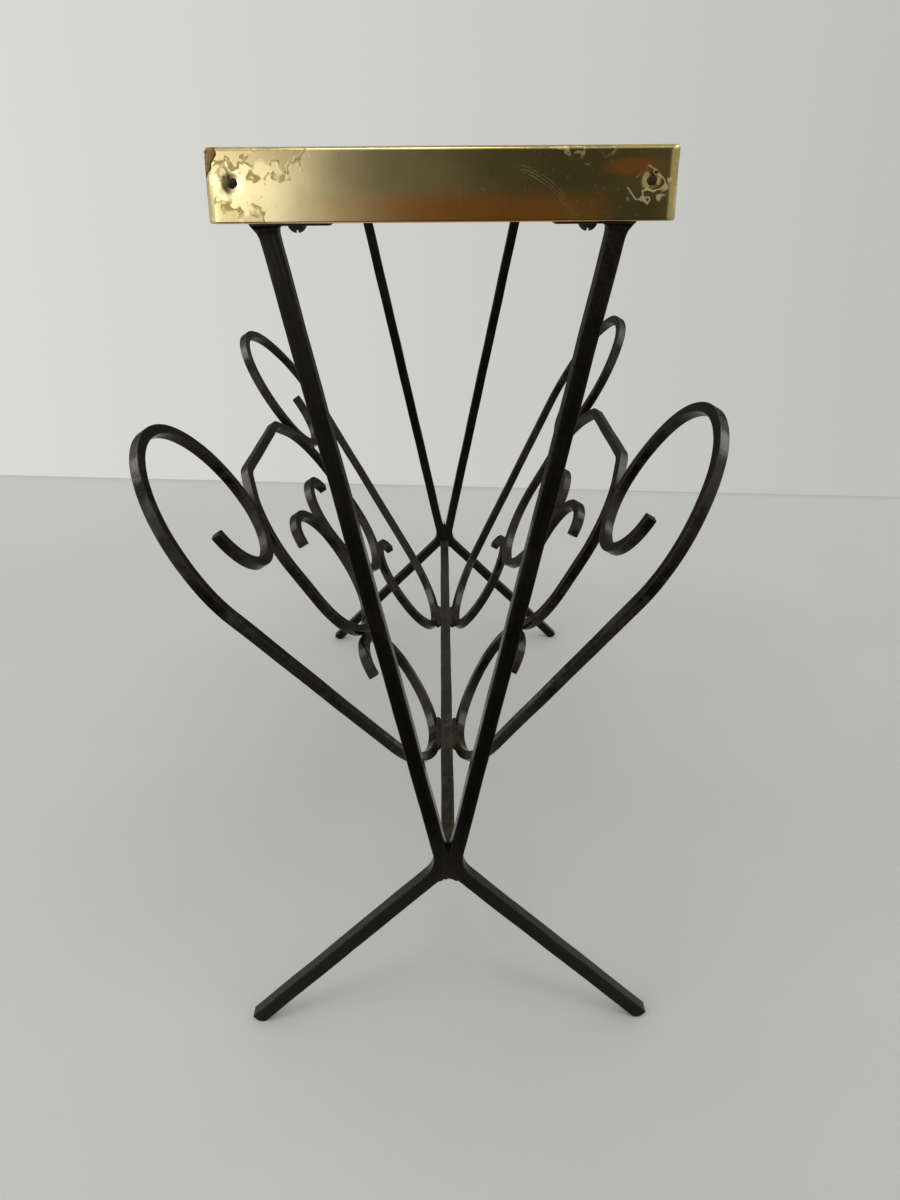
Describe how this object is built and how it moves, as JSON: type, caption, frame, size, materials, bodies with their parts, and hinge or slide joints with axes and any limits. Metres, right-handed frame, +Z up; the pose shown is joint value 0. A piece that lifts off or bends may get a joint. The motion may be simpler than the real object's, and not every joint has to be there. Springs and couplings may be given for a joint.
{
  "type": "magazine rack",
  "caption": "Narrow side table with a brass-edged wooden top on crossed bent-bar legs, and a V-shaped magazine cradle of scrolled black steel bars hung on a spine between them.",
  "frame": {"origin": "middle of the bounding box, on the floor. The cradle leans a little to the left, so the middle of the top lies 8.3 mm towards -Y.", "axes": "+X along the length towards the far end, +Y towards the left side as seen from the near end, +Z up"},
  "size_m": [0.528, 0.3124, 0.478],
  "materials": {
    "wood": "brown stained wood",
    "brass": "aged polished brass",
    "tack_steel": "dark rusty steel",
    "leg_paint": "black satin paint",
    "screw_steel": "black paint",
    "weld_metal": "painted weld",
    "worn_paint": "worn black paint",
    "scroll_paint": "black satin paint, worn brown at the bends"
  },
  "bodies": {
    "root": {"top_board": "wood", "brass_band": "brass", "band_tack_near_left": "tack_steel", "band_tack_near_right": "tack_steel", "band_tack_far_left": "tack_steel", "band_tack_far_right": "tack_steel", "leg_near_left": "leg_paint", "leg_near_right": "leg_paint", "leg_far_left": "leg_paint", "leg_far_right": "leg_paint", "leg_strap_near_left": "leg_paint", "leg_strap_near_right": "leg_paint", "leg_strap_far_left": "leg_paint", "leg_strap_far_right": "leg_paint", "strap_screw_near_left": "screw_steel", "strap_screw_near_right": "screw_steel", "strap_screw_far_left": "screw_steel", "strap_screw_far_right": "screw_steel", "arch_weld_near": "weld_metal", "arch_weld_far": "weld_metal", "spine_bar": "worn_paint", "central_scroll_left": "scroll_paint", "central_scroll_right": "scroll_paint", "outer_scroll_near_left": "scroll_paint", "outer_scroll_near_right": "scroll_paint", "outer_scroll_far_left": "scroll_paint", "outer_scroll_far_right": "scroll_paint"}
  },
  "joints": []
}
